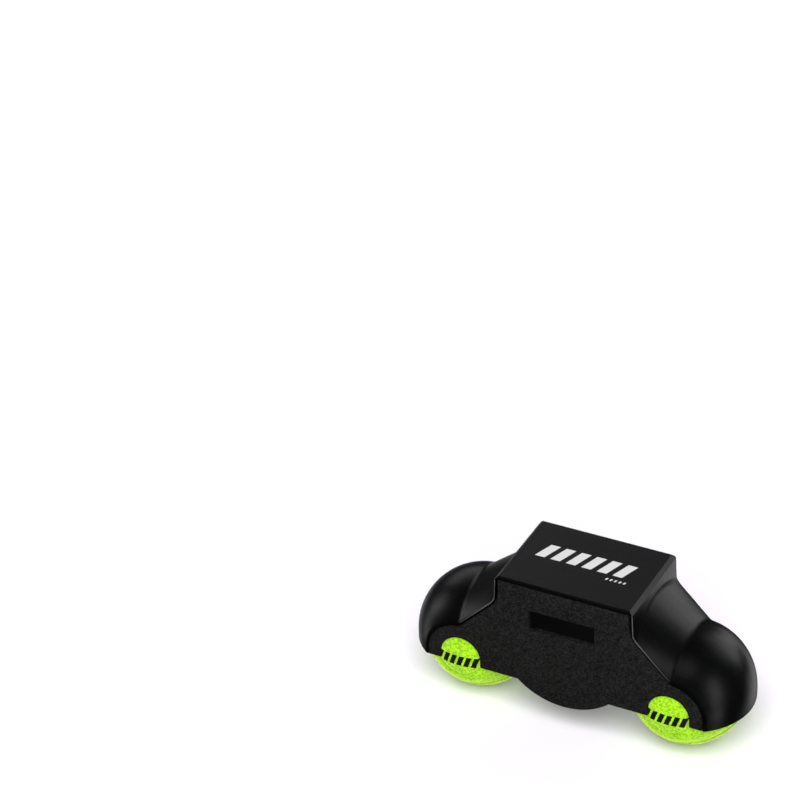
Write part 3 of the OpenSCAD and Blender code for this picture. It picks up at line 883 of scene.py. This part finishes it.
def floor_finish():
    """Pale floor that keeps the shadow, is seen white further off, and is polished in the gloss."""
    made = bpy.data.materials.new("studio_floor")
    made.use_nodes = True
    tree = made.node_tree
    shader = tree.nodes["Principled BSDF"]
    shader.inputs["Base Color"].default_value = (*colours().floor, 1.0)
    shader.inputs["Roughness"].default_value = 0.9
    shader.inputs["Specular IOR Level"].default_value = 0.1
    shader.inputs["Emission Color"].default_value = (1, 1, 1, 1)
    place = tree.nodes.new("ShaderNodeTexCoord")
    away = tree.nodes.new("ShaderNodeVectorMath")
    away.operation = "LENGTH"
    tree.links.new(place.outputs["Object"], away.inputs[0])
    paler = tree.nodes.new("ShaderNodeMapRange")
    paler.interpolation_type = "SMOOTHSTEP"
    tree.links.new(away.outputs["Value"], paler.inputs["Value"])
    for name, value in FLOOR_GLOW.items():
        paler.inputs[name].default_value = value
    glow = tree.nodes.new("ShaderNodeMath")
    glow.operation = "MULTIPLY"
    tree.links.new(paler.outputs["Result"], glow.inputs[0])
    tree.links.new(background_level(tree, 0.0, 1.0, 0.0), glow.inputs[1])
    tree.links.new(glow.outputs[0], shader.inputs["Emission Strength"])
    polish = tree.nodes.new("ShaderNodeBsdfGlossy")
    polish.inputs["Color"].default_value = (FLOOR_POLISH, FLOOR_POLISH, FLOOR_POLISH, 1.0)
    polish.inputs["Roughness"].default_value = 0.15
    path = tree.nodes.new("ShaderNodeLightPath")
    blend = tree.nodes.new("ShaderNodeMixShader")
    tree.links.new(path.outputs["Is Glossy Ray"], blend.inputs[0])
    tree.links.new(shader.outputs[0], blend.inputs[1])
    tree.links.new(polish.outputs[0], blend.inputs[2])
    tree.links.new(blend.outputs[0], tree.nodes["Material Output"].inputs["Surface"])
    return made


def softbox(name, azimuth, distance, height, width, tall, radiance, mirrored):
    """A softbox that faces the object, at an azimuth that runs from +X towards +Y."""
    turn = math.radians(azimuth)
    place = Vector((distance * math.cos(turn), distance * math.sin(turn), height))
    target = Vector(AIM)
    lamp = bpy.data.lights.new(name, "AREA")
    lamp.shape = "RECTANGLE"
    lamp.size, lamp.size_y = width, tall
    lamp.energy = radiance * math.pi * width * tall
    box = bpy.data.objects.new(name, lamp)
    bpy.context.scene.collection.objects.link(box)
    box.location = place
    box.rotation_euler = (target - place).to_track_quat("-Z", "Y").to_euler()
    box.visible_glossy = mirrored


class FOOT_OT_stage(bpy.types.Operator):
    """Lays the floor, hangs the softboxes and sets the camera as in the photograph"""
    bl_idname = "foot.stage"
    bl_label = "Stage"

    def execute(self, context):
        scene = context.scene
        deselect_all()
        bpy.ops.mesh.primitive_plane_add(size=FLOOR_SIZE, location=(0, 0, 0))
        floor = context.object
        floor.name = "studio_floor"
        floor.data.materials.append(floor_finish())

        for box in SOFTBOXES:
            softbox(*box)

        world = bpy.data.worlds.new("studio_world")
        world.use_nodes = True
        tree = world.node_tree
        back = tree.nodes["Background"]
        back.inputs["Color"].default_value = (1, 1, 1, 1)
        tree.links.new(background_level(tree, **WORLD_LEVEL), back.inputs["Strength"])
        scene.world = world

        lens = bpy.data.cameras.new("studio_camera")
        lens.sensor_width = CAMERA_SENSOR
        lens.lens = CAMERA_LENS
        lens.clip_start, lens.clip_end = CAMERA_REACH
        camera = bpy.data.objects.new("studio_camera", lens)
        scene.collection.objects.link(camera)
        axes = (Vector(CAMERA_RIGHT), -Vector(CAMERA_DOWN), -Vector(CAMERA_AHEAD))
        turn = Matrix(axes).transposed().to_4x4()
        camera.matrix_world = Matrix.Translation(CAMERA_PLACE) @ turn
        scene.camera = camera
        scene.view_settings.view_transform = "Standard"
        return {"FINISHED"}


class FOOT_PT_panel(bpy.types.Panel):
    bl_idname = "FOOT_PT_panel"
    bl_label = "Rocker Foot"
    bl_space_type = "VIEW_3D"
    bl_region_type = "UI"
    bl_category = "Rocker Foot"

    def draw(self, context):
        for operator in OPERATORS:
            self.layout.operator(operator.bl_idname)
        for group in (context.scene.foot_sizes, context.scene.foot_colours):
            box = self.layout.box()
            for name in group.__annotations__:
                box.prop(group, name)


OPERATORS = (FOOT_OT_housing, FOOT_OT_plates, FOOT_OT_socket, FOOT_OT_base, FOOT_OT_balls, FOOT_OT_stage)
CLASSES = (FootSizes, FootColours, *OPERATORS, FOOT_PT_panel)


def register():
    for cls in CLASSES:
        bpy.utils.register_class(cls)
    bpy.types.Scene.foot_sizes = PointerProperty(type=FootSizes)
    bpy.types.Scene.foot_colours = PointerProperty(type=FootColours)


def unregister():
    del bpy.types.Scene.foot_colours
    del bpy.types.Scene.foot_sizes
    for cls in reversed(CLASSES):
        bpy.utils.unregister_class(cls)


def main():
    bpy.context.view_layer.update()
    register()
    bpy.ops.foot.housing()
    bpy.ops.foot.plates()
    bpy.ops.foot.socket()
    bpy.ops.foot.base()
    bpy.ops.foot.balls()
    bpy.ops.foot.stage()


if __name__ == "__main__":
    main()
